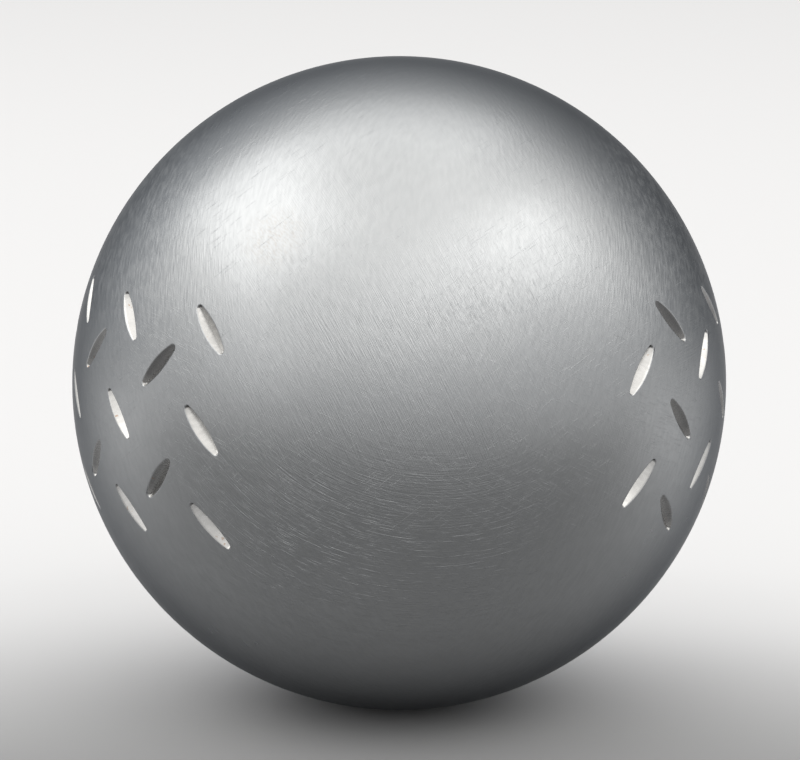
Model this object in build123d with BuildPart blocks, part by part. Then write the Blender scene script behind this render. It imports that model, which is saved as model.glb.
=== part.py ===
from build123d import *
from math import asin, cos, degrees, radians, sin, tan
import os

# A steel petanque boule: two forged half shells are joined by a weld round the equator,
# turned to one smooth ball and then milled with a belt of slots. It is hollow and sealed.
# Millimetres and degrees. The origin is the ball's centre, and the belt runs round +Z.
# Longitude 0 is the front (-Y), and it grows towards +X.

# Ball: the wall gives it a weight of about 700 g
BALL_DIAMETER = 74.0
WALL = 6.13

# Weld preparation on the half shells, which meet at the plane Z = 0
ROOT_GAP = 1.0
ROOT_LAND = 1.7
BEVEL_ANGLE = 30.0
ROOT_BEAD_WIDTH = 3.6
ROOT_BEAD_HEIGHT = 0.9

# One slot: a pointed cutter dips into the ball along an arc, deepest in the middle
CUTTER_ANGLE = 90.0
CUTTER_FLAT_COUNT = 12
CUTTER_TRAVEL = 5.9
DIP_RADIUS = 13.5
SLOT_DEPTH = 0.85

# Belt of slots: columns of two and of three take turns, and lean opposite ways
COLUMN_COUNT = 28
FIRST_COLUMN_ANGLE = 45.0
COLUMN_STEP_ANGLE = 10.4
ROW_ANGLE_OF_TWO = 9.55
ROW_ANGLE_OF_THREE = 16.6
SLOT_LEAN_ANGLE = 41.3

ball_radius = BALL_DIAMETER / 2
inner_radius = ball_radius - WALL

# Cutters and sections run this far past the surface that they have to cross
overshoot = SLOT_DEPTH / 2

# The half section lies in the front half of the YZ plane: local x is the radius, local y is Z
section_plane = Plane(origin=(0, 0, 0), x_dir=(0, -1, 0), z_dir=(-1, 0, 0))

# Weld groove between the two bevels, wider towards the outside
root_radius = inner_radius + ROOT_LAND
groove_top = ball_radius + overshoot
groove_top_half = ROOT_GAP / 2 + (groove_top - root_radius) * tan(radians(BEVEL_ANGLE))
groove_outline = [
    (root_radius, -ROOT_GAP / 2),
    (groove_top, -groove_top_half),
    (groove_top, groove_top_half),
    (root_radius, ROOT_GAP / 2),
]

# Bead that the weld leaves inside, an arc as wide and as high as stated
bead_radius = ROOT_BEAD_HEIGHT / 2 + ROOT_BEAD_WIDTH**2 / (8 * ROOT_BEAD_HEIGHT)
bead_centre = inner_radius - ROOT_BEAD_HEIGHT + bead_radius

# Path of the cutter's point: an arc about dip_centre, which is above the slot's middle
half_angle = radians(CUTTER_ANGLE / 2)
half_sweep = asin(CUTTER_TRAVEL / 2 / DIP_RADIUS)
dip_centre = DIP_RADIUS - SLOT_DEPTH
cutter_height = SLOT_DEPTH + overshoot
cutter_half_width = cutter_height * tan(half_angle)
path_end = Vector(DIP_RADIUS * sin(half_sweep), 0, dip_centre - DIP_RADIUS * cos(half_sweep))
cutter_axis = Vector(-sin(half_sweep), 0, cos(half_sweep))
point_top = path_end + cutter_axis * cutter_height


def slot_location(longitude, latitude, lean):
    """Place on the ball: Z points out, and X runs along a slot whose upper end leans to the east."""
    turn = radians(longitude)
    climb = radians(latitude)
    outward = Vector(cos(climb) * sin(turn), -cos(climb) * cos(turn), sin(climb))
    east = Vector(cos(turn), sin(turn), 0)
    north = outward.cross(east)
    along = north * cos(radians(lean)) + east * sin(radians(lean))
    return Plane(origin=outward * ball_radius, x_dir=along, z_dir=outward).location


slot_locations = []
for column in range(COLUMN_COUNT):
    longitude = FIRST_COLUMN_ANGLE + column * COLUMN_STEP_ANGLE
    if column % 2 == 0:
        rows = (-ROW_ANGLE_OF_TWO, ROW_ANGLE_OF_TWO)
        lean = SLOT_LEAN_ANGLE
    else:
        rows = (-ROW_ANGLE_OF_THREE, 0, ROW_ANGLE_OF_THREE)
        lean = -SLOT_LEAN_ANGLE
    for row in rows:
        slot_locations.append(slot_location(longitude, row, lean))

# Space that one pass of the cutter sweeps: a V along the arc, and the many-sided point at each end
with BuildSketch(Plane(origin=point_top, x_dir=(0, 1, 0), z_dir=cutter_axis)) as cutter_section:
    RegularPolygon(cutter_half_width, CUTTER_FLAT_COUNT)

with BuildPart() as slot_cutter:
    with BuildSketch(Plane.YZ):
        Polygon(
            (0, -SLOT_DEPTH),
            (cutter_half_width, overshoot),
            (-cutter_half_width, overshoot),
            align=None,
        )
    revolve(axis=Axis((0, 0, dip_centre), (0, -1, 0)), revolution_arc=degrees(half_sweep))
    loft(sections=[cutter_section.sketch.face(), Vertex(*path_end)])
    mirror(about=Plane.YZ)

# Upper half shell: a hollow half ball with a land at the root and a bevel for the weld
with BuildPart() as upper_half_shell:
    with BuildSketch(section_plane):
        Circle(ball_radius)
        Circle(inner_radius, mode=Mode.SUBTRACT)
        with Locations((0, ROOT_GAP / 2)):
            Rectangle(ball_radius, ball_radius, align=(Align.MIN, Align.MIN), mode=Mode.INTERSECT)
        Polygon(*groove_outline, align=None, mode=Mode.SUBTRACT)
    half_shell_blank = revolve(axis=Axis.Z)
    with Locations(*slot_locations):
        add(slot_cutter.part, mode=Mode.SUBTRACT)

# Lower half shell: the same forging, turned over
with BuildPart() as lower_half_shell:
    mirror(half_shell_blank, about=Plane.XY)
    with Locations(*slot_locations):
        add(slot_cutter.part, mode=Mode.SUBTRACT)

# Weld: it fills the groove and the root gap, is turned flush outside and leaves a bead inside
with BuildSketch(section_plane) as root_bead:
    with Locations((bead_centre, 0)):
        Circle(bead_radius)
    Circle(inner_radius, mode=Mode.INTERSECT)

with BuildPart() as weld_seam:
    with BuildSketch(section_plane):
        Polygon(*groove_outline, align=None)
        with Locations((root_radius, 0)):
            Rectangle(WALL, ROOT_GAP, align=(Align.MAX, Align.CENTER))
        Circle(ball_radius, mode=Mode.INTERSECT)
        Circle(inner_radius, mode=Mode.SUBTRACT)
        add(root_bead.sketch_local)
    revolve(axis=Axis.Z)
    with Locations(*slot_locations):
        add(slot_cutter.part, mode=Mode.SUBTRACT)

upper_half_shell.part.label = "upper_half_shell"
lower_half_shell.part.label = "lower_half_shell"
weld_seam.part.label = "weld_seam"

os.makedirs("parts", exist_ok=True)
export_step(upper_half_shell.part, "parts/upper_half_shell.step")
export_step(lower_half_shell.part, "parts/lower_half_shell.step")
export_step(weld_seam.part, "parts/weld_seam.step")
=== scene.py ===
from math import asin, atan2, cos, degrees, pi, radians, sin, sqrt

import bmesh
import bpy
from mathutils import Matrix, Vector


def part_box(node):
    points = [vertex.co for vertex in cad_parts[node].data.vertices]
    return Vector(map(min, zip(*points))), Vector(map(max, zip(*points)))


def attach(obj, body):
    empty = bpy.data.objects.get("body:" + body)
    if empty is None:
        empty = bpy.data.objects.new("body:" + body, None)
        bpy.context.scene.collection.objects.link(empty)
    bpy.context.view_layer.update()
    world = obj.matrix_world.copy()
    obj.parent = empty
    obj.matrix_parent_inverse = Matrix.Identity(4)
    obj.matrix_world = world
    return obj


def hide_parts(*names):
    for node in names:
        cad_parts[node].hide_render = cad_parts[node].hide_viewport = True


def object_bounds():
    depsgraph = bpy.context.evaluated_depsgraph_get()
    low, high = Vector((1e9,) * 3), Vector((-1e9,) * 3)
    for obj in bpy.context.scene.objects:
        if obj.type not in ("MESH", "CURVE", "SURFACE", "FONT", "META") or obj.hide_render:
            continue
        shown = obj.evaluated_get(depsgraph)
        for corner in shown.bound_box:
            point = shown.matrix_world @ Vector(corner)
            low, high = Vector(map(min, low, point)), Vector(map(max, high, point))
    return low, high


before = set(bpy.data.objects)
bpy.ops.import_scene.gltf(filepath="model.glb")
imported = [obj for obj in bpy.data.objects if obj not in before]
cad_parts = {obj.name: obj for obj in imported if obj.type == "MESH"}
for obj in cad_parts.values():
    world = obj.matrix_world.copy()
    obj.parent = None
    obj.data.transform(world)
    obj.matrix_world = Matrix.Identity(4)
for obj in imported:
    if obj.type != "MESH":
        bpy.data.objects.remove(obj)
cad_low, cad_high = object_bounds()

# A steel petanque boule: two half shells and the weld between them, with a belt of milled slots.
# Metres; angles in degrees. Longitude 0 is the front (-Y) and grows towards +X.

# Ball and weld, read from the frame
ball_radius = (cad_high.x - cad_low.x) / 2
weld_half_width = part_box("weld_seam")[1].z
weld_latitude = degrees(asin(weld_half_width / ball_radius))

# Inside of the ball, which the outside can't show
WALL = 0.00613
ROOT_GAP = 0.001
ROOT_LAND = 0.0017
ROOT_BEAD_WIDTH = 0.0036
ROOT_BEAD_HEIGHT = 0.0009

# One slot: a pointed cutter dips into the ball along an arc, deepest in the middle
CUTTER_ANGLE = 90.0
CUTTER_TRAVEL = 0.0059
DIP_RADIUS = 0.0135
SLOT_DEPTH = 0.00085
EDGE_BREAK = 0.00008

# Belt of slots: columns of two and of three take turns, and lean opposite ways
COLUMN_COUNT = 28
FIRST_COLUMN = 45.0
COLUMN_PITCH = 10.4
ROW_OF_TWO = 9.55
ROW_OF_THREE = 16.6
SLOT_LEAN = 41.3
BELT_LATITUDE = 24.0

# Steps of the mesh: across and up a column, from a slot to its column's border, down a slot's wall
COLUMN_STEPS = 14
WELD_STEPS = 14
BELT_STEPS = 26
BARE_STEPS = 92
CAP_STEPS = 42
INSIDE_STEPS = 16
BEAD_STEPS = 8
SPREAD_STEPS = 8
SPREAD_POWER = 1.5
WALL_STEPS = 5
END_STEPS = 12

# Closing of the mesh: points this near become one, points this near the ball are on it, sharper edges show
MERGE_DISTANCE = 1e-7
ON_BALL_WITHIN = 1e-6
SHARP_ANGLE = 40.0

# Satin finish: axes that its strokes run round, by where they show on the ball
MIDDLE_STROKE_AXIS = (0.88, 0.25, 0.40)
LEFT_STROKE_AXIS = (0.785, -0.513, 0.347)
RIGHT_STROKE_AXIS = (-0.788, -0.465, 0.402)
RIM_STROKE_AXIS = (-0.36, 0.08, 0.93)
LOWER_STROKE_AXIS = (0.1, -0.876, 0.471)
STRAY_STROKE_AXIS = (-0.62, 0.2, 0.76)
CROSSING_STROKE_AXIS = (0.45, 0.1, 0.89)

# Kinds of strokes: length and width, and for some the span of the noise that shows and its detail
MIDDLE_STROKES = {"Length": 0.0022, "Width": 0.00009}
SHOULDER_STROKES = {"Length": 0.002, "Width": 0.00012}
RIM_STROKES = {"Length": 0.003, "Width": 0.00011}
LOWER_STROKES = {"Length": 0.0035, "Width": 0.0001}
DENTS = {"Length": 0.0014, "Width": 0.00045, "Detail": 0.5}
SCUFFS = {"Length": 0.0014, "Width": 0.0007, "Low": 0.4, "High": 0.65, "Detail": 1.0}
GLINTS = {"Length": 0.0034, "Width": 0.00009, "Low": 0.57, "High": 0.77}
CROSSING_STROKES = {"Length": 0.0024, "Width": 0.00007, "Low": 0.58, "High": 0.76}
SCRATCHES = {"Length": 0.004, "Width": 0.0001, "Low": 0.66, "High": 0.72}
RUST_FLECKS = {"Length": 0.0006, "Width": 0.0002, "Low": 0.45, "High": 0.65}
STROKE_NOISE_ROUGHNESS = 0.6
NEAR_AXIS = (0.88, 0.98)

# Where the satin finish changes, as shares of the ball's radius: from where to where it goes over
LEFT_SHOULDER = (-0.3, -0.55)
LEFT_SHOULDER_FOOT = (0.15, 0.35)
RIGHT_SHOULDER = (0.5, 0.62)
RIGHT_SHOULDER_FOOT = (0.2, 0.4)
RIGHT_RIM = (0.6, 0.8)
BACK = (0.0, 0.3)
EQUATOR = (-0.16, 0.06)
BELT_TOP = (0.12, 0.36)
UPPER_HALF = (0.36, 0.6)
CROWN = (0.6, 0.88)
SHOULDERS = (0.2, 0.5)
LOWER_HALF = (-0.75, -0.35)
LOWER_SIDES = (0.35, 0.65)
LOWER_RIGHT = (-0.3, 0.35)
BOTTOM = (-0.85, -0.45)
BELT_FOOT = (-0.28, 0.02)
CROSSING_EDGE = (0.25, 0.5)
DENT_BORDER = (-0.1, 0.3)
SCUFF_BORDER = (-0.1, 0.1)
SCUFF_SIDES = (0.5, 0.7)
SCUFF_FOOT = (0.1, 0.35)

# Relief of the satin finish: height of one unit, units of each kind, and what is left of them at places
SATIN_RELIEF = 0.00001
UPPER_STRENGTHS = (3.4, 0.9)
LOWER_STRENGTHS = (1.2, 2.1)
DENT_STRENGTH = 0.65
GLINT_STRENGTH = 3.2
SCRATCH_STRENGTH = 0.8
CROSSING_STRENGTH = 0.9
BELT_SHARE = 0.62
SHOULDER_SHARE = 0.42
CROWN_SHARE = 0.4
LOWER_SIDE_SHARE = 0.5
LOWER_RIGHT_SHARE = 0.5

# Rusty smear on the upper left of the front: longitude and latitude, the axis its flecks run round, its reach
SMEAR_PLACE = (-25.3, 33.0)
SMEAR_AXIS = (0.52, -0.15, 0.84)
SMEAR_REACH = 0.0045
SMEAR_STRENGTH = 0.4

# Colours and roughness of the satin steel
SATIN_DARK = (0.372, 0.382, 0.39, 1)
SATIN_LIGHT = (0.42, 0.43, 0.438, 1)
SATIN_RIM_TINT = (0.212, 0.219, 0.232, 1)
SCUFF_COLOUR = (0.452, 0.462, 0.468, 1)
SMEAR_COLOUR = (0.27, 0.22, 0.175, 1)
SATIN_CLOUD = 0.012
SATIN_ROUGHNESS = (0.33, 0.27)
SCUFF_ROUGHNESS = 0.05

# Milled walls of the slots: marks of the cutter, specks of rust, and painted light and shade by lean, rise
# and place along
# Lit copy of the wall's steel, painted lighter, for walls that face up; shaded copy, painted darker, for
# walls that face down
LIT_WALL_DARK = (0.465, 0.461, 0.452, 1)
LIT_WALL_LIGHT = (0.5, 0.495, 0.485, 1)
SHADED_WALL_DARK = (0.265, 0.265, 0.265, 1)
SHADED_WALL_LIGHT = (0.29, 0.29, 0.29, 1)
RUST_COLOUR = (0.27, 0.14, 0.06, 1)
MILLED_ROUGHNESS = (0.3, 0.24)
MILLED_RELIEF = 0.0000025
CUTTER_MARK = 0.0004
SLOT_DIFFERENCE = 0.004
MARK_SPAN = (0.3, 0.7)
RUST_SPECK = 0.0004
RUST_PATCH = 0.002
RUST_SPAN = (0.62, 0.85)
RUST_STRENGTH = 0.7
# Painted shade: the lean at which it sets in, and how much of it is left at the root and the two ends
FACING_DOWN = (0.25, -0.25)
ROOT_RISE = (0.0, 0.7)
ROOT_SHADE_SHARE = 0.5
LOWER_END = (-0.92, -0.6)
LOWER_END_SHADE_SHARE = 0.2
UPPER_END = (0.75, 0.9)
UPPER_END_SHADE = 0.35

# Scale inside the ball
SCALE_DARK = (0.05, 0.05, 0.055, 1)
SCALE_LIGHT = (0.14, 0.12, 0.11, 1)
SCALE_CLOUD = 0.004
SCALE_METALLIC = 0.6
SCALE_ROUGHNESS = (0.75, 0.5)
SCALE_RELIEF = 0.00004

# Soft patches
CLOUD_DETAIL = 3.0
CLOUD_NOISE_ROUGHNESS = 0.55
CLOUD_SPAN = (0.3, 0.7)

# Floor: pale paper with a pool of painted shade in front of the ball, which the lower half mirrors
FLOOR_HALF_WIDTH = 4.0
# The darker colour is painted shade, laid in a pool just in front of the ball
FLOOR_PAINTED_SHADE = (0.178, 0.179, 0.182, 1)
FLOOR_PALE = (0.63, 0.63, 0.636, 1)
FLOOR_CLOUD = 0.15
FLOOR_CLOUD_SHARE = 0.03
SHADE_POOL_BACK = (-0.065, 0.045)
SHADE_POOL_REACH = (0.08, 0.65)

# Studio dome: by the sine of the elevation, a grey and its tint
WARM_TINT = (1.0, 0.987, 0.962)
NEUTRAL_TINT = (1.0, 1.0, 1.0)
COOL_TINT = (0.97, 1.0, 1.04)
FRONT_DOME = [
    (0.0, 0.36, NEUTRAL_TINT),
    (0.21, 0.5, NEUTRAL_TINT),
    (0.64, 0.93, WARM_TINT),
    (1.0, 1.0, WARM_TINT),
]
LEFT_BACK_DOME = [
    (0.0, 0.33, COOL_TINT),
    (0.5, 0.42, COOL_TINT),
    (1.0, 0.5, NEUTRAL_TINT),
]
RIGHT_BACK_DOME = [
    (0.0, 0.19, COOL_TINT),
    (0.5, 0.21, COOL_TINT),
    (1.0, 0.5, NEUTRAL_TINT),
]
DOME_STRENGTH = 1.73
DOME_BACK = (0.0, 0.7)
DOME_RIGHT = (-0.5, 0.5)

# Soft boxes: azimuth from the camera's side towards +X, elevation, width, height and watts
SOFT_BOX_DISTANCE = 1.2
SOFT_BOXES = {
    "left_soft_box": (-88.0, 50.0, 1.2, 0.7, 2.5),
    "front_left_soft_box": (-48.0, 17.0, 0.8, 0.5, 0.45),
    "right_soft_box": (58.0, 46.0, 1.0, 0.6, 1.42),
    "back_soft_box": (180.0, 70.0, 1.0, 0.6, 0.97),
}

# Camera, as in the photograph: 800 x 760, with the ball's centre and radius in pixels
IMAGE_WIDTH = 800
IMAGE_HEIGHT = 760
BALL_COLUMN = 399.2
BALL_ROW = 383.0
BALL_PIXELS = 327.0
CAMERA_RADII = 10.5
CAMERA_ELEVATION = 9.8
CAMERA_ROLL = 0.61
SENSOR_WIDTH = 36.0
CLIP_START = 0.01
CLIP_END = 20.0

# Places in each piece's list of materials
SATIN = 0
MILLED = 1
FORGED = 2


def on_ball(longitude, latitude, radius=ball_radius):
    """Point at a longitude and latitude in degrees."""
    turn = radians(longitude)
    climb = radians(latitude)
    return Vector((cos(climb) * sin(turn), -cos(climb) * cos(turn), sin(climb))) * radius


def longitude_near(point, near):
    """Longitude of a point, within half a turn of another longitude."""
    longitude = degrees(atan2(point.x, -point.y))
    return near + (longitude - near + 180) % 360 - 180


def even_steps(start, end, steps):
    return [start + (end - start) * step / steps for step in range(steps + 1)]


def add_strip(mesh, near_row, far_row, material, closed):
    """Quads between two rows of vertices, seen from where they run left to right, the far one above."""
    count = len(near_row)
    for i in range(count if closed else count - 1):
        j = (i + 1) % count
        face = mesh.faces.new((near_row[i], near_row[j], far_row[j], far_row[i]))
        face.material_index = material
        face.smooth = True


def add_rows(mesh, rows, material, closed=False):
    """Skin through rows of points, the last row above the first."""
    vertex_rows = [[mesh.verts.new(point) for point in row] for row in rows]
    for near_row, far_row in zip(vertex_rows, vertex_rows[1:]):
        add_strip(mesh, near_row, far_row, material, closed)


# Slots

half_angle = radians(CUTTER_ANGLE / 2)
half_sweep = asin(CUTTER_TRAVEL / 2 / DIP_RADIUS)
dip_centre = DIP_RADIUS - SLOT_DEPTH


def slot_rulings(count):
    """Straight lines that the cutter's edge leaves: foot on the root, the line's way, the way sideways.

    They go once round the slot, counter-clockwise from outside. X is along it, and Z out of the ball.
    """
    wall_steps = count // 2 - END_STEPS
    stations = []
    for step in range(END_STEPS + 1):
        stations.append((half_sweep, -pi / 2 + pi * step / END_STEPS))
    for step in range(1, wall_steps):
        stations.append((half_sweep * (1 - 2 * step / wall_steps), pi / 2))
    for step in range(END_STEPS + 1):
        stations.append((-half_sweep, pi / 2 + pi * step / END_STEPS))
    for step in range(1, wall_steps):
        stations.append((half_sweep * (2 * step / wall_steps - 1), 3 * pi / 2))
    rulings = []
    for sweep, bearing in stations:
        foot = Vector((DIP_RADIUS * sin(sweep), 0, dip_centre - DIP_RADIUS * cos(sweep)))
        upward = Vector((-sin(sweep), 0, cos(sweep)))
        forward = Vector((cos(sweep), 0, sin(sweep)))
        sideways = forward * cos(bearing) + Vector((0, sin(bearing), 0))
        rulings.append((foot, upward * cos(half_angle) + sideways * sin(half_angle), sideways))
    return rulings


def slot_place(longitude, latitude, lean):
    """Matrix from a slot's own axes to the ball's."""
    outward = on_ball(longitude, latitude, 1.0)
    east = Vector((cos(radians(longitude)), sin(radians(longitude)), 0))
    north = outward.cross(east)
    along = north * cos(radians(lean)) + east * sin(radians(lean))
    across = outward.cross(along)
    turn = Matrix((along, across, outward)).transposed().to_4x4()
    return Matrix.Translation(outward * ball_radius) @ turn


def slot_rings(longitude, latitude, lean, count):
    """Rings of points from the slot's root to its broken edge, and the ring just outside it on the ball."""
    place = slot_place(longitude, latitude, lean)
    centre = Vector((0, 0, -ball_radius))
    rings = [[] for _ in range(WALL_STEPS + 1)]
    outer_ring = []
    for foot, direction, sideways in slot_rulings(count):
        arm = foot - centre
        reach = arm.dot(direction)
        length = sqrt(reach**2 - arm.length_squared + ball_radius**2) - reach
        for step, ring in enumerate(rings):
            ring.append(place @ (foot + direction * (length - EDGE_BREAK) * step / WALL_STEPS))
        beyond = arm + direction * length + sideways * EDGE_BREAK
        outer_ring.append(place @ (centre + beyond.normalized() * ball_radius))
    return rings, outer_ring


def add_slot_cell(mesh, west, east, south, north, rows, slot):
    """Part of the ball between two meridians and two parallels, with one slot in it."""
    border = [(lon, south) for lon in even_steps(west, east, COLUMN_STEPS)[:-1]]
    border += [(east, lat) for lat in even_steps(south, north, rows)[:-1]]
    border += [(lon, north) for lon in even_steps(east, west, COLUMN_STEPS)[:-1]]
    border += [(west, lat) for lat in even_steps(north, south, rows)[:-1]]
    count = len(border)
    rings, outer_ring = slot_rings(*slot, count)
    inner = []
    for point in outer_ring:
        inner.append((longitude_near(point, slot[0]), degrees(asin(point.z / ball_radius))))

    def mismatch(shift):
        total = 0
        for i in range(count):
            lon, lat = border[(i + shift) % count]
            total += (lon - inner[i][0]) ** 2 + (lat - inner[i][1]) ** 2
        return total

    shift = min(range(count), key=mismatch)
    border = border[shift:] + border[:shift]

    slot_along = mesh.verts.layers.float["slot_along"]
    slot_rise = mesh.verts.layers.float["slot_rise"]
    to_slot = slot_place(*slot).inverted()
    vertex_rings = []
    for step, ring in enumerate(rings + [outer_ring]):
        vertices = [mesh.verts.new(point) for point in ring]
        for vertex in vertices:
            vertex[slot_along] = (to_slot @ vertex.co).x
            vertex[slot_rise] = min(step / WALL_STEPS, 1.0)
        vertex_rings.append(vertices)
    for step in range(1, SPREAD_STEPS + 1):
        share = (step / SPREAD_STEPS) ** SPREAD_POWER
        ring = []
        for (lon, lat), (border_lon, border_lat) in zip(inner, border):
            point = on_ball(lon + (border_lon - lon) * share, lat + (border_lat - lat) * share)
            ring.append(mesh.verts.new(point))
        vertex_rings.append(ring)
    for i, (near_ring, far_ring) in enumerate(zip(vertex_rings, vertex_rings[1:])):
        material = MILLED if i < WALL_STEPS else SATIN
        add_strip(mesh, far_ring, near_ring, material, closed=True)


# Columns of the belt: borders, and the latitudes and lean of the slots between them

columns = []
for number in range(COLUMN_COUNT):
    middle = FIRST_COLUMN + number * COLUMN_PITCH
    slots = {}
    if number % 2 == 0:
        lean = SLOT_LEAN
        rows = {"upper": ROW_OF_TWO, "lower": -ROW_OF_TWO}
    else:
        lean = -SLOT_LEAN
        rows = {"upper": ROW_OF_THREE, "weld": 0.0, "lower": -ROW_OF_THREE}
    for zone, latitude in rows.items():
        slots[zone] = (middle, latitude, lean)
    columns.append((middle - COLUMN_PITCH / 2, middle + COLUMN_PITCH / 2, slots))
belt_start = columns[0][0]
belt_end = columns[-1][1]
bare_longitudes = even_steps(belt_end, belt_start + 360, BARE_STEPS)
meridians = []
for west, east, _ in columns:
    meridians += even_steps(west, east, COLUMN_STEPS)[:-1]
meridians += bare_longitudes[:-1]


def add_zone(mesh, zone, south, north, rows):
    """Outside of the ball between two parallels, with the slots that lie there."""
    for west, east, slots in columns:
        if zone in slots:
            add_slot_cell(mesh, west, east, south, north, rows, slots[zone])
        else:
            longitudes = even_steps(west, east, COLUMN_STEPS)
            latitudes = even_steps(south, north, rows)
            add_rows(mesh, [[on_ball(lon, lat) for lon in longitudes] for lat in latitudes], SATIN)
    latitudes = even_steps(south, north, rows)
    add_rows(mesh, [[on_ball(lon, lat) for lon in bare_longitudes] for lat in latitudes], SATIN)


def add_turned(mesh, section, material):
    """Skin of a section, given as radius and height, turned round the ball's axis."""
    rows = []
    for radius, height in section:
        rows.append([on_ball(lon, 0.0, radius) + Vector((0, 0, height)) for lon in meridians])
    add_rows(mesh, rows, material, closed=True)


# Sections inside the ball, for the upper half

inner_radius = ball_radius - WALL
root_radius = inner_radius + ROOT_LAND
weld_radius = sqrt(ball_radius**2 - weld_half_width**2)
land_radius = sqrt(inner_radius**2 - (ROOT_GAP / 2) ** 2)
bevel_section = [(weld_radius, weld_half_width), (root_radius, ROOT_GAP / 2)]
land_section = [(root_radius, ROOT_GAP / 2), (land_radius, ROOT_GAP / 2)]
land_latitude = degrees(asin(ROOT_GAP / 2 / inner_radius))
inner_section = []
for latitude in even_steps(land_latitude, 90.0, INSIDE_STEPS):
    inner_section.append((inner_radius * cos(radians(latitude)), inner_radius * sin(radians(latitude))))


def upside_down(section):
    return [(radius, -height) for radius, height in section]


def root_bead_section():
    """Arc of the bead that the weld leaves inside, from its lower end to its upper one."""
    bead_radius = ROOT_BEAD_HEIGHT / 2 + ROOT_BEAD_WIDTH**2 / (8 * ROOT_BEAD_HEIGHT)
    bead_centre = inner_radius - ROOT_BEAD_HEIGHT + bead_radius
    half_turn = degrees(asin(ROOT_BEAD_WIDTH / 2 / bead_radius))
    section = []
    for angle in even_steps(-half_turn, half_turn, BEAD_STEPS):
        section.append((bead_centre - bead_radius * cos(radians(angle)), bead_radius * sin(radians(angle))))
    return section


def new_skin():
    """Empty skin, whose points can hold their place along a slot and their rise from its root to its edge."""
    mesh = bmesh.new()
    mesh.verts.layers.float.new("slot_along")
    mesh.verts.layers.float.new("slot_rise")
    return mesh


def finish_mesh(mesh, name, materials):
    """Closes the skin's seams, and makes an object whose outside has the true ball's normals."""
    bmesh.ops.remove_doubles(mesh, verts=mesh.verts, dist=MERGE_DISTANCE)
    bmesh.ops.recalc_face_normals(mesh, faces=mesh.faces)
    data = bpy.data.meshes.new(name)
    mesh.to_mesh(data)
    mesh.free()
    for material in materials:
        data.materials.append(material)
    data.set_sharp_from_angle(angle=radians(SHARP_ANGLE))
    normals = []
    for polygon in data.polygons:
        for vertex in polygon.vertices:
            point = data.vertices[vertex].co
            outside = polygon.material_index == SATIN and point.length > ball_radius - ON_BALL_WITHIN
            normals.append(point.normalized() if outside else Vector((0, 0, 0)))
    data.normals_split_custom_set(normals)
    piece = bpy.data.objects.new(name, data)
    bpy.context.collection.objects.link(piece)
    return piece


def make_half_shell(name, zone, sign, materials):
    mesh = new_skin()
    south, north = sorted((sign * weld_latitude, sign * BELT_LATITUDE))
    add_zone(mesh, zone, south, north, BELT_STEPS)
    cap = []
    for latitude in even_steps(sign * BELT_LATITUDE, sign * 90.0, CAP_STEPS):
        cap.append((ball_radius * cos(radians(latitude)), ball_radius * sin(radians(latitude))))
    add_turned(mesh, cap, SATIN)
    for section in (bevel_section, land_section, inner_section):
        add_turned(mesh, section if sign > 0 else upside_down(section), FORGED)
    return finish_mesh(mesh, name, materials)


def make_weld_seam(name, materials):
    mesh = new_skin()
    add_zone(mesh, "weld", -weld_latitude, weld_latitude, WELD_STEPS)
    for section in (bevel_section, land_section):
        add_turned(mesh, section, FORGED)
        add_turned(mesh, upside_down(section), FORGED)
    bead = root_bead_section()
    inside = [land_section[-1]] + bead[::-1] + [upside_down(land_section)[-1]]
    add_turned(mesh, inside, FORGED)
    return finish_mesh(mesh, name, materials)


# Nodes

def new_group(name, inputs, outputs):
    """Shader node group with its sockets, and the nodes that stand for them."""
    group = bpy.data.node_groups.new(name, "ShaderNodeTree")
    for label, kind, value in inputs:
        socket = group.interface.new_socket(label, in_out="INPUT", socket_type=kind)
        if value is not None:
            socket.default_value = value
    for label, kind in outputs:
        group.interface.new_socket(label, in_out="OUTPUT", socket_type=kind)
    return group, group.nodes.new("NodeGroupInput"), group.nodes.new("NodeGroupOutput")


def new_material(name):
    material = bpy.data.materials.new(name)
    material.use_nodes = True
    tree = material.node_tree
    return material, tree, tree.nodes["Principled BSDF"]


def add_node(tree, kind, **settings):
    """Node of a kind. Settings are its properties."""
    node = tree.nodes.new(kind)
    for key, value in settings.items():
        setattr(node, key, value)
    return node


def link(tree, source, target):
    """Links an output to an input, or sets the input if the source is a plain value."""
    if isinstance(source, bpy.types.NodeSocket):
        tree.links.new(source, target)
    else:
        target.default_value = source


def math_node(tree, operation, first, second=0.0):
    node = add_node(tree, "ShaderNodeMath", operation=operation)
    link(tree, first, node.inputs[0])
    link(tree, second, node.inputs[1])
    return node.outputs["Value"]


def vector_node(tree, operation, first, second=None):
    node = add_node(tree, "ShaderNodeVectorMath", operation=operation)
    link(tree, first, node.inputs[0])
    if second is not None:
        link(tree, second, node.inputs["Scale"] if operation == "SCALE" else node.inputs[1])
    gives_number = operation in ("DOT_PRODUCT", "DISTANCE", "LENGTH")
    return node.outputs["Value" if gives_number else "Vector"]


def separate(tree, vector):
    """The X, Y and Z of a vector."""
    parts = add_node(tree, "ShaderNodeSeparateXYZ")
    tree.links.new(vector, parts.inputs["Vector"])
    return parts.outputs["X"], parts.outputs["Y"], parts.outputs["Z"]


def range_node(tree, value, from_low, from_high, to_low, to_high, smooth=False):
    node = add_node(tree, "ShaderNodeMapRange", interpolation_type="SMOOTHSTEP" if smooth else "LINEAR")
    for label, source in (("Value", value), ("From Min", from_low), ("From Max", from_high),
                          ("To Min", to_low), ("To Max", to_high)):
        link(tree, source, node.inputs[label])
    return node.outputs["Result"]


def fade(tree, value, span, first=0.0, last=1.0, smooth=False):
    """Goes from first to last while a value crosses a span."""
    return range_node(tree, value, span[0], span[1], first, last, smooth)


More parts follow.
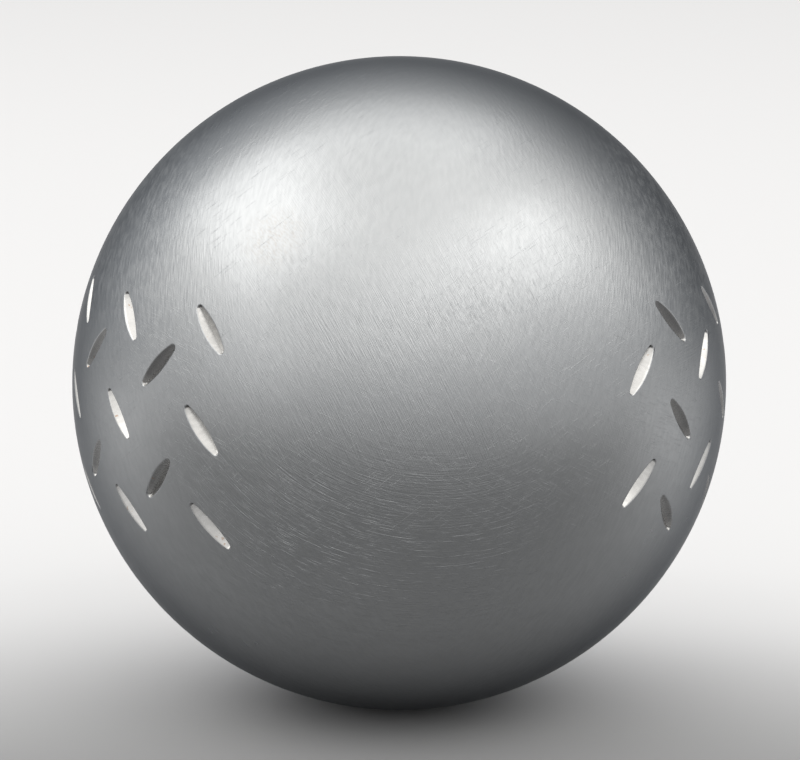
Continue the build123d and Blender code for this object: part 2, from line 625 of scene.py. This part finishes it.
def noise_node(tree, vector, detail, roughness):
    node = add_node(tree, "ShaderNodeTexNoise")
    link(tree, vector, node.inputs["Vector"])
    node.inputs["Scale"].default_value = 1.0
    link(tree, detail, node.inputs["Detail"])
    node.inputs["Roughness"].default_value = roughness
    return node.outputs["Fac"]


def mix_node(tree, data_type, share, first, second):
    node = add_node(tree, "ShaderNodeMix", data_type=data_type)
    link(tree, share, node.inputs["Factor"])
    link(tree, first, node.inputs["A"])
    link(tree, second, node.inputs["B"])
    return node.outputs["Result"]


def mix_value(tree, share, first, second):
    return mix_node(tree, "FLOAT", share, first, second)


def mix_colour(tree, share, first, second):
    return mix_node(tree, "RGBA", share, first, second)


def weighted_sum(tree, *terms):
    """Sum of values, each times its weight."""
    total = 0.0
    for value, weight in terms:
        total = math_node(tree, "ADD", math_node(tree, "MULTIPLY", value, weight), total)
    return total


def product(tree, first, *others):
    """Product of values."""
    for other in others:
        first = math_node(tree, "MULTIPLY", first, other)
    return first


def place_group(tree, group, vector, **values):
    node = add_node(tree, "ShaderNodeGroup", node_tree=group)
    tree.links.new(vector, node.inputs["Vector"])
    for label, value in values.items():
        node.inputs[label].default_value = value
    return node.outputs[0]


def add_bump(tree, shader, height, distance):
    bump = add_node(tree, "ShaderNodeBump")
    bump.inputs["Distance"].default_value = distance
    tree.links.new(height, bump.inputs["Height"])
    tree.links.new(bump.outputs["Normal"], shader.inputs["Normal"])


# Effects that the finishes share

def make_stroke_group():
    """Fine strokes along circles round an axis: what a belt leaves on a ball that turns under it."""
    group, given, result = new_group(
        "belt_strokes",
        [
            ("Vector", "NodeSocketVector", None),
            ("Axis", "NodeSocketVector", None),
            ("Length", "NodeSocketFloat", 0.003),
            ("Width", "NodeSocketFloat", 0.0001),
            ("Low", "NodeSocketFloat", 0.3),
            ("High", "NodeSocketFloat", 0.7),
            ("Detail", "NodeSocketFloat", 2.0),
        ],
        [("Strokes", "NodeSocketFloat")],
    )
    place = given.outputs["Vector"]
    axis = given.outputs["Axis"]
    lengthwise = vector_node(group, "DIVIDE", place, given.outputs["Length"])
    along_axis = vector_node(group, "DOT_PRODUCT", place, axis)
    widths = math_node(group, "DIVIDE", along_axis, given.outputs["Width"])
    stretched = vector_node(group, "ADD", lengthwise, vector_node(group, "SCALE", axis, widths))
    noise = noise_node(group, stretched, given.outputs["Detail"], STROKE_NOISE_ROUGHNESS)
    shown = range_node(group, noise, given.outputs["Low"], given.outputs["High"], 0.0, 1.0)
    # Near the axis the circles are small and the strokes would swell, so they fade out there
    direction = vector_node(group, "NORMALIZE", place)
    nearness = math_node(group, "ABSOLUTE", vector_node(group, "DOT_PRODUCT", direction, axis))
    fading = fade(group, nearness, NEAR_AXIS, 1.0, 0.0)
    group.links.new(product(group, shown, fading), result.inputs["Strokes"])
    return group


def make_cloud_group():
    """Soft patches, such as an uneven polish."""
    group, given, result = new_group(
        "polish_clouds",
        [("Vector", "NodeSocketVector", None), ("Size", "NodeSocketFloat", 0.02)],
        [("Clouds", "NodeSocketFloat")],
    )
    sizes = vector_node(group, "DIVIDE", given.outputs["Vector"], given.outputs["Size"])
    noise = noise_node(group, sizes, CLOUD_DETAIL, CLOUD_NOISE_ROUGHNESS)
    group.links.new(fade(group, noise, CLOUD_SPAN), result.inputs["Clouds"])
    return group


stroke_group = make_stroke_group()
cloud_group = make_cloud_group()


# Satin steel of the outside

def strokes(tree, place, axis, kind):
    return place_group(tree, stroke_group, place, Axis=axis, **kind)


def lower_working(tree, across):
    """How much of the strokes is left on the lower half: less at the sides, and less on the right."""
    sides = fade(tree, math_node(tree, "ABSOLUTE", across), LOWER_SIDES, 1.0, LOWER_SIDE_SHARE)
    rightward = fade(tree, across, LOWER_RIGHT, 1.0, LOWER_RIGHT_SHARE)
    return product(tree, sides, rightward)


def upper_working(tree, across, height):
    """Strength of the fine strokes on the upper half, highest in the middle of the front."""
    return product(
        tree,
        fade(tree, height, UPPER_HALF, *UPPER_STRENGTHS),
        fade(tree, height, BELT_TOP, BELT_SHARE, 1.0),
        fade(tree, math_node(tree, "ABSOLUTE", across), SHOULDERS, 1.0, SHOULDER_SHARE),
        fade(tree, height, CROWN, 1.0, CROWN_SHARE),
    )


def fine_strokes(tree, place, across, backward, height):
    """Fine strokes all over: each way of working the ball takes over from the one beside it."""
    rim_strokes = strokes(tree, place, RIM_STROKE_AXIS, RIM_STROKES)
    back = fade(tree, backward, BACK)
    left = product(tree, fade(tree, across, LEFT_SHOULDER), fade(tree, height, LEFT_SHOULDER_FOOT))
    left_strokes = strokes(tree, place, LEFT_STROKE_AXIS, SHOULDER_STROKES)
    right = product(tree, fade(tree, across, RIGHT_SHOULDER), fade(tree, height, RIGHT_SHOULDER_FOOT))
    right_strokes = strokes(tree, place, RIGHT_STROKE_AXIS, SHOULDER_STROKES)

    upper = strokes(tree, place, MIDDLE_STROKE_AXIS, MIDDLE_STROKES)
    upper = mix_value(tree, left, upper, left_strokes)
    upper = mix_value(tree, fade(tree, across, RIGHT_RIM), upper, rim_strokes)
    upper = mix_value(tree, right, upper, right_strokes)
    upper = mix_value(tree, back, upper, rim_strokes)
    upper = product(tree, upper, upper_working(tree, across, height))

    lower = strokes(tree, place, LOWER_STROKE_AXIS, LOWER_STROKES)
    lower = mix_value(tree, back, lower, rim_strokes)
    strength = fade(tree, height, LOWER_HALF, *LOWER_STRENGTHS)
    lower = product(tree, lower, strength, lower_working(tree, across))
    return mix_value(tree, fade(tree, height, EQUATOR), lower, upper)


def stray_strokes(tree, place, across, height):
    """Short deep strokes on the lower half, fainter ones across the belt, and long scratches anywhere."""
    glints = product(
        tree,
        strokes(tree, place, LOWER_STROKE_AXIS, GLINTS),
        fade(tree, height, BOTTOM),
        fade(tree, height, BELT_FOOT, 1.0, 0.0),
        lower_working(tree, across),
    )
    crossing = strokes(tree, place, CROSSING_STROKE_AXIS, CROSSING_STROKES)
    near_belt = fade(tree, math_node(tree, "ABSOLUTE", height), CROSSING_EDGE, 1.0, 0.0)
    crossing = product(tree, crossing, near_belt)
    scratches = strokes(tree, place, STRAY_STROKE_AXIS, SCRATCHES)
    return weighted_sum(
        tree,
        (glints, GLINT_STRENGTH),
        (crossing, CROSSING_STRENGTH),
        (scratches, SCRATCH_STRENGTH),
    )


def shoulder_marks(tree, place, across, kind, border):
    """Marks that run with the strokes of the left shoulder, and past a border with those of the right one."""
    left_marks = strokes(tree, place, LEFT_STROKE_AXIS, kind)
    right_marks = strokes(tree, place, RIGHT_STROKE_AXIS, kind)
    return mix_value(tree, fade(tree, across, border), left_marks, right_marks)


def pale_scuffs(tree, place, across, height):
    """Scuffs on the shoulders, which have no depth."""
    scuffs = shoulder_marks(tree, place, across, SCUFFS, SCUFF_BORDER)
    outer = fade(tree, math_node(tree, "ABSOLUTE", across), SCUFF_SIDES)
    return product(tree, scuffs, outer, fade(tree, height, SCUFF_FOOT))


def rusty_smear(tree, place):
    """Flecks that thin out from the middle of the smear."""
    flecks = strokes(tree, place, SMEAR_AXIS, RUST_FLECKS)
    distance = vector_node(tree, "DISTANCE", place, on_ball(*SMEAR_PLACE))
    return product(tree, flecks, fade(tree, distance, (0.0, SMEAR_REACH), SMEAR_STRENGTH, 0.0))


def make_satin_steel():
    """Bare steel under a satin finish: strokes round a few axes, stray ones, scuffs and an uneven polish."""
    material, tree, shader = new_material("satin_steel")
    place = add_node(tree, "ShaderNodeTexCoord").outputs["Object"]
    across, backward, height = separate(tree, vector_node(tree, "SCALE", place, 1 / ball_radius))

    dents = shoulder_marks(tree, place, across, DENTS, DENT_BORDER)
    relief = weighted_sum(
        tree,
        (fine_strokes(tree, place, across, backward, height), 1.0),
        (stray_strokes(tree, place, across, height), 1.0),
        (dents, DENT_STRENGTH),
    )
    add_bump(tree, shader, relief, SATIN_RELIEF)

    clouds = place_group(tree, cloud_group, place, Size=SATIN_CLOUD)
    shade = weighted_sum(tree, (clouds, 0.5), (dents, 0.5))
    scuffs = pale_scuffs(tree, place, across, height)
    colour = mix_colour(tree, shade, SATIN_DARK, SATIN_LIGHT)
    colour = mix_colour(tree, scuffs, colour, SCUFF_COLOUR)
    colour = mix_colour(tree, rusty_smear(tree, place), colour, SMEAR_COLOUR)
    tree.links.new(colour, shader.inputs["Base Color"])
    polish = fade(tree, shade, (0.0, 1.0), *SATIN_ROUGHNESS)
    roughness = weighted_sum(tree, (polish, 1.0), (scuffs, SCUFF_ROUGHNESS))
    tree.links.new(roughness, shader.inputs["Roughness"])
    shader.inputs["Metallic"].default_value = 1.0
    shader.inputs["Specular Tint"].default_value = SATIN_RIM_TINT
    return material


# Milled steel of the slots

def cutter_marks(tree, place, along, rise):
    """Faint marks of the cutter across a slot, which differ from slot to slot."""
    steps = add_node(tree, "ShaderNodeCombineXYZ")
    tree.links.new(math_node(tree, "DIVIDE", along, CUTTER_MARK), steps.inputs["X"])
    tree.links.new(rise, steps.inputs["Y"])
    by_slot = vector_node(tree, "SCALE", place, 1 / SLOT_DIFFERENCE)
    shifted = vector_node(tree, "ADD", steps.outputs["Vector"], by_slot)
    noise = noise_node(tree, shifted, detail=0.0, roughness=0.5)
    return fade(tree, noise, MARK_SPAN)


def slot_painted_shade(tree, place, normal, along, rise):
    """Painted shade on a wall that faces down, thinner at the root and the lower end. Upper ends always have
    some.
    """
    outward = vector_node(tree, "NORMALIZE", place)
    lean = separate(tree, vector_node(tree, "SUBTRACT", normal, outward))
    facing_down = fade(tree, lean[2], FACING_DOWN)
    above_root = fade(tree, rise, ROOT_RISE, ROOT_SHADE_SHARE, 1.0)
    share_along = math_node(tree, "DIVIDE", along, CUTTER_TRAVEL / 2)
    above_end = fade(tree, share_along, LOWER_END, LOWER_END_SHADE_SHARE, 1.0)
    upper_end = fade(tree, share_along, UPPER_END, 0.0, UPPER_END_SHADE)
    return math_node(tree, "MAXIMUM", product(tree, facing_down, above_root, above_end), upper_end)


def make_milled_steel():
    """Cut wall of a slot, with painted light and shade: one that faces up is painted lighter, and one that
    faces down darker.
    """
    material, tree, shader = new_material("milled_steel")
    coordinates = add_node(tree, "ShaderNodeTexCoord")
    place = coordinates.outputs["Object"]
    along = add_node(tree, "ShaderNodeAttribute", attribute_name="slot_along").outputs["Fac"]
    rise = add_node(tree, "ShaderNodeAttribute", attribute_name="slot_rise").outputs["Fac"]

    marks = cutter_marks(tree, place, along, rise)
    add_bump(tree, shader, marks, MILLED_RELIEF)
    lit_wall = mix_colour(tree, marks, LIT_WALL_DARK, LIT_WALL_LIGHT)
    shaded_wall = mix_colour(tree, marks, SHADED_WALL_DARK, SHADED_WALL_LIGHT)
    painted_shade = slot_painted_shade(tree, place, coordinates.outputs["Normal"], along, rise)
    specks = place_group(tree, cloud_group, place, Size=RUST_SPECK)
    patches = place_group(tree, cloud_group, place, Size=RUST_PATCH)
    rust = fade(tree, product(tree, specks, patches), RUST_SPAN, 0.0, RUST_STRENGTH)
    # Painted light and shade: walls that face up take the lit copy of the steel, walls that face down the
    # shaded one
    colour = mix_colour(tree, rust, mix_colour(tree, painted_shade, lit_wall, shaded_wall), RUST_COLOUR)
    tree.links.new(colour, shader.inputs["Base Color"])
    tree.links.new(fade(tree, marks, (0.0, 1.0), *MILLED_ROUGHNESS), shader.inputs["Roughness"])
    shader.inputs["Metallic"].default_value = 1.0
    return material


# Forged steel of the inside

def make_forged_steel():
    """Dark scale that forging and welding leave inside the ball."""
    material, tree, shader = new_material("forged_steel")
    place = add_node(tree, "ShaderNodeTexCoord").outputs["Object"]
    clouds = place_group(tree, cloud_group, place, Size=SCALE_CLOUD)
    tree.links.new(mix_colour(tree, clouds, SCALE_DARK, SCALE_LIGHT), shader.inputs["Base Color"])
    tree.links.new(fade(tree, clouds, (0.0, 1.0), *SCALE_ROUGHNESS), shader.inputs["Roughness"])
    add_bump(tree, shader, clouds, SCALE_RELIEF)
    shader.inputs["Metallic"].default_value = SCALE_METALLIC
    return material


# Pieces

steels = [make_satin_steel(), make_milled_steel(), make_forged_steel()]
pieces = {
    "upper_half_shell": make_half_shell("upper_shell", "upper", 1, steels),
    "lower_half_shell": make_half_shell("lower_shell", "lower", -1, steels),
    "weld_seam": make_weld_seam("weld_ring", steels),
}
for node, piece in pieces.items():
    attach(piece, "root")
    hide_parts(node)


# Floor

def make_floor_paper():
    """Matt paper, pale behind the ball and far from it, with a pool of painted shade darkest just in front of
    it.
    """
    material, tree, shader = new_material("floor_paper")
    place = add_node(tree, "ShaderNodeTexCoord").outputs["Object"]
    behind = fade(tree, separate(tree, place)[1], SHADE_POOL_BACK, smooth=True)
    far = fade(tree, vector_node(tree, "LENGTH", place), SHADE_POOL_REACH)
    clouds = place_group(tree, cloud_group, place, Size=FLOOR_CLOUD)
    even_share = 1 - FLOOR_CLOUD_SHARE
    shade = weighted_sum(tree, (behind, even_share), (far, even_share), (clouds, FLOOR_CLOUD_SHARE))
    # Painted shade: the paper is mixed towards its dark colour in a pool just in front of the ball
    tree.links.new(mix_colour(tree, shade, FLOOR_PAINTED_SHADE, FLOOR_PALE), shader.inputs["Base Color"])
    shader.inputs["Roughness"].default_value = 1.0
    shader.inputs["Specular IOR Level"].default_value = 0.0
    return material


def add_floor():
    mesh = bpy.data.meshes.new("floor")
    signs = [(-1, -1), (1, -1), (1, 1), (-1, 1)]
    corners = [(x * FLOOR_HALF_WIDTH, y * FLOOR_HALF_WIDTH, cad_low.z) for x, y in signs]
    mesh.from_pydata(corners, [], [(0, 1, 2, 3)])
    mesh.materials.append(make_floor_paper())
    floor = bpy.data.objects.new("floor", mesh)
    bpy.context.collection.objects.link(floor)
    return floor


floor = add_floor()


# Light: a studio dome that is brightest overhead and dim behind, and four soft boxes

def make_ramp(tree, height, stops):
    """Light by height, through the stops of a part of the dome."""
    ramp = add_node(tree, "ShaderNodeValToRGB")
    tree.links.new(height, ramp.inputs["Fac"])
    elements = ramp.color_ramp.elements
    while len(elements) < len(stops):
        elements.new(0.5)
    for element, (position, grey, tint) in zip(elements, stops):
        element.position = position
        element.color = [grey * share for share in tint] + [1]
    return ramp.outputs["Color"]


def make_world():
    world = bpy.data.worlds.new("studio")
    bpy.context.scene.world = world
    world.use_nodes = True
    tree = world.node_tree
    direction = add_node(tree, "ShaderNodeTexCoord").outputs["Generated"]
    across, backward, height = separate(tree, direction)
    front = make_ramp(tree, height, FRONT_DOME)
    left_back = make_ramp(tree, height, LEFT_BACK_DOME)
    right_back = make_ramp(tree, height, RIGHT_BACK_DOME)
    back = mix_colour(tree, fade(tree, across, DOME_RIGHT), left_back, right_back)
    behind = fade(tree, backward, DOME_BACK, smooth=True)
    background = tree.nodes["Background"]
    tree.links.new(mix_colour(tree, behind, front, back), background.inputs["Color"])
    background.inputs["Strength"].default_value = DOME_STRENGTH


def add_soft_box(name, azimuth, elevation, width, height, watts):
    """Area lamp that faces the ball."""
    lamp = bpy.data.lights.new(name, "AREA")
    lamp.shape = "RECTANGLE"
    lamp.size = width
    lamp.size_y = height
    lamp.energy = watts
    lamp.color = WARM_TINT
    box = bpy.data.objects.new(name, lamp)
    place = on_ball(azimuth, elevation, SOFT_BOX_DISTANCE)
    box.location = place
    box.rotation_euler = place.to_track_quat("Z", "Y").to_euler()
    bpy.context.collection.objects.link(box)


make_world()
for name, settings in SOFT_BOXES.items():
    add_soft_box(name, *settings)


# Camera

def add_camera():
    camera = bpy.data.cameras.new("camera")
    pixels = BALL_PIXELS * sqrt(CAMERA_RADII**2 - 1)
    camera.sensor_width = SENSOR_WIDTH
    camera.lens = pixels * SENSOR_WIDTH / IMAGE_WIDTH
    camera.shift_x = (IMAGE_WIDTH / 2 - BALL_COLUMN) / IMAGE_WIDTH
    camera.shift_y = (BALL_ROW - IMAGE_HEIGHT / 2) / IMAGE_WIDTH
    camera.clip_start = CLIP_START
    camera.clip_end = CLIP_END
    place = on_ball(0.0, CAMERA_ELEVATION, CAMERA_RADII * ball_radius)
    view = bpy.data.objects.new("camera", camera)
    aim = place.to_track_quat("Z", "Y").to_matrix().to_4x4()
    view.matrix_world = Matrix.Translation(place) @ aim @ Matrix.Rotation(radians(CAMERA_ROLL), 4, "Z")
    bpy.context.collection.objects.link(view)
    bpy.context.scene.camera = view


add_camera()
bpy.context.scene.view_settings.view_transform = "Standard"
